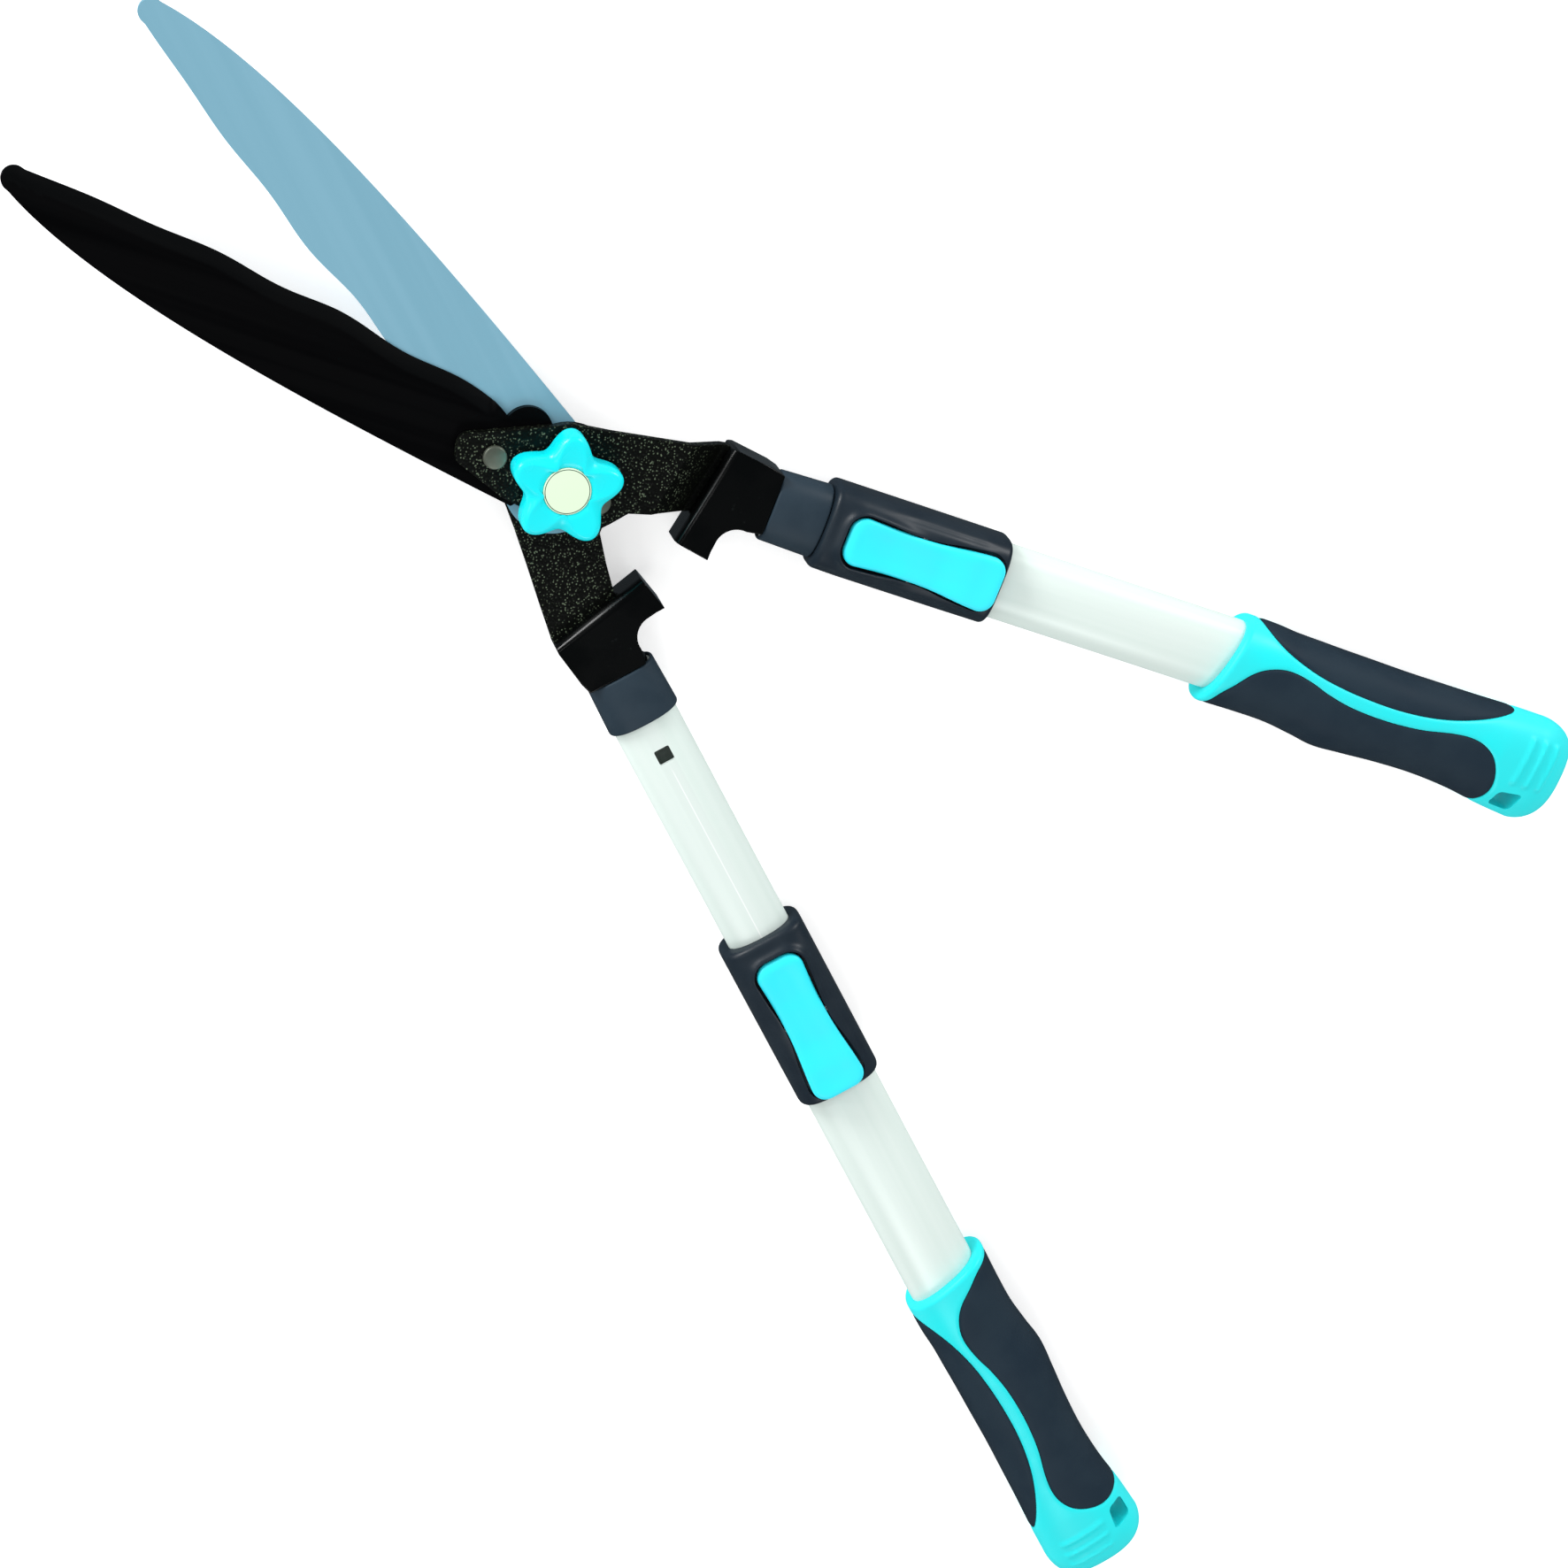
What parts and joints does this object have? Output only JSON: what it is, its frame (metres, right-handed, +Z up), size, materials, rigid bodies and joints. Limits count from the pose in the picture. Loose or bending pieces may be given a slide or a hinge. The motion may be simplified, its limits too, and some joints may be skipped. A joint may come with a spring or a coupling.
{
  "type": "hedge shears",
  "caption": "Telescopic hedge shears with wavy blades, a star knob on the pivot, lever-locked sliding handles and two-tone grips.",
  "frame": {"origin": "on the pivot axis, at the centre of the bolt head's flat underside", "axes": "+Y forward to the blade tips, +X to the right handle, +Z up towards the star knob"},
  "size_m": [0.4151, 0.7669, 0.0442],
  "materials": {
    "black_blade_coating": "low-friction black coating, semi-matt",
    "blue_steel_blade": "blue-grey coated steel, satin",
    "hammered_black": "hammered-finish black enamel",
    "rivet_steel": "dull steel rivet heads",
    "zinc_steel": "zinc-plated steel",
    "cyan_knob": "moulded plastic, satin gloss",
    "pale_cap": "smooth printed disc with a plain dark ring",
    "gloss_black": "gloss black enamel",
    "slate_collar": "finely textured plastic",
    "slate_plastic": "smooth satin plastic",
    "anodised_aluminium": "satin anodised aluminium",
    "cyan_lever": "moulded plastic, satin gloss",
    "cyan_grip": "moulded plastic, satin",
    "slate_rubber": "soft matt rubber"
  },
  "bodies": {
    "lower_half": {"lower_blade": "blue_steel_blade", "lower_bracket": "hammered_black", "lower_rivets": "rivet_steel", "pivot_bolt": "zinc_steel", "left_connector": "gloss_black", "left_collar": "slate_collar", "left_inner_tube": "anodised_aluminium", "left_connector_pins": "zinc_steel", "left_tube_guide": "slate_plastic"},
    "upper_half": {"upper_blade": "black_blade_coating", "upper_bracket": "hammered_black", "upper_rivets": "rivet_steel", "right_connector": "gloss_black", "right_collar": "slate_collar", "right_inner_tube": "anodised_aluminium", "right_connector_pins": "zinc_steel", "right_tube_guide": "slate_plastic"},
    "washer": {"pivot_washer": "zinc_steel"},
    "knob": {"star_knob": "cyan_knob", "knob_nut": "zinc_steel", "knob_cap": "pale_cap"},
    "left_handle": {"left_outer_tube": "anodised_aluminium", "left_lock_sleeve": "slate_plastic", "left_lever_pin": "zinc_steel", "left_lever_spring": "zinc_steel", "left_grip_core": "cyan_grip", "left_palm_pad": "slate_rubber", "left_back_pad": "slate_rubber", "left_grip_screw": "zinc_steel"},
    "left_lever": {"left_lock_lever": "cyan_lever", "left_lock_pin": "zinc_steel"},
    "right_handle": {"right_outer_tube": "anodised_aluminium", "right_lock_sleeve": "slate_plastic", "right_lever_pin": "zinc_steel", "right_lever_spring": "zinc_steel", "right_grip_core": "cyan_grip", "right_palm_pad": "slate_rubber", "right_back_pad": "slate_rubber", "right_grip_screw": "zinc_steel"},
    "right_lever": {"right_lock_lever": "cyan_lever", "right_lock_pin": "zinc_steel"}
  },
  "joints": [
    {"name": "blade_pivot", "type": "hinge", "parent": "lower_half", "child": "upper_half", "pos_m": [0, 0, 0.014], "axis": [0, 0, 1], "range_deg": [-20.8, 36]},
    {"name": "left_telescope", "type": "slide", "parent": "lower_half", "child": "left_handle", "axis": [-0.3616, -0.9323, 0], "range_m": [-0.107, 0]},
    {"name": "right_telescope", "type": "slide", "parent": "upper_half", "child": "right_handle", "axis": [0.3616, -0.9323, 0], "range_m": [0, 0.107]},
    {"name": "left_lever_press", "type": "hinge", "parent": "left_handle", "child": "left_lever", "pos_m": [-0.1062, -0.23232, 0.0202], "axis": [0.9323, -0.3616, 0], "range_deg": [0, 4], "stiffness_Nm_per_rad": 2, "springref_deg": -5.73, "deforming": ["left_lever_spring"]},
    {"name": "right_lever_press", "type": "hinge", "parent": "right_handle", "child": "right_lever", "pos_m": [0.0675, -0.13256, 0.0202], "axis": [0.9323, 0.3616, 0], "range_deg": [0, 4], "stiffness_Nm_per_rad": 2, "springref_deg": -5.73, "deforming": ["right_lever_spring"]},
    {"name": "washer_lift", "type": "slide", "parent": "lower_half", "child": "washer", "axis": [0, 0, 1], "range_m": [0, 0.00126]},
    {"name": "knob_turn", "type": "hinge", "parent": "washer", "child": "knob", "pos_m": [0, 0, 0.025], "axis": [0, 0, 1], "range_deg": [0, 360]}
  ],
  "couplings": [
    {"joint": "washer_lift", "follows": "knob_turn", "m_per_rad": 0.00019894}
  ]
}
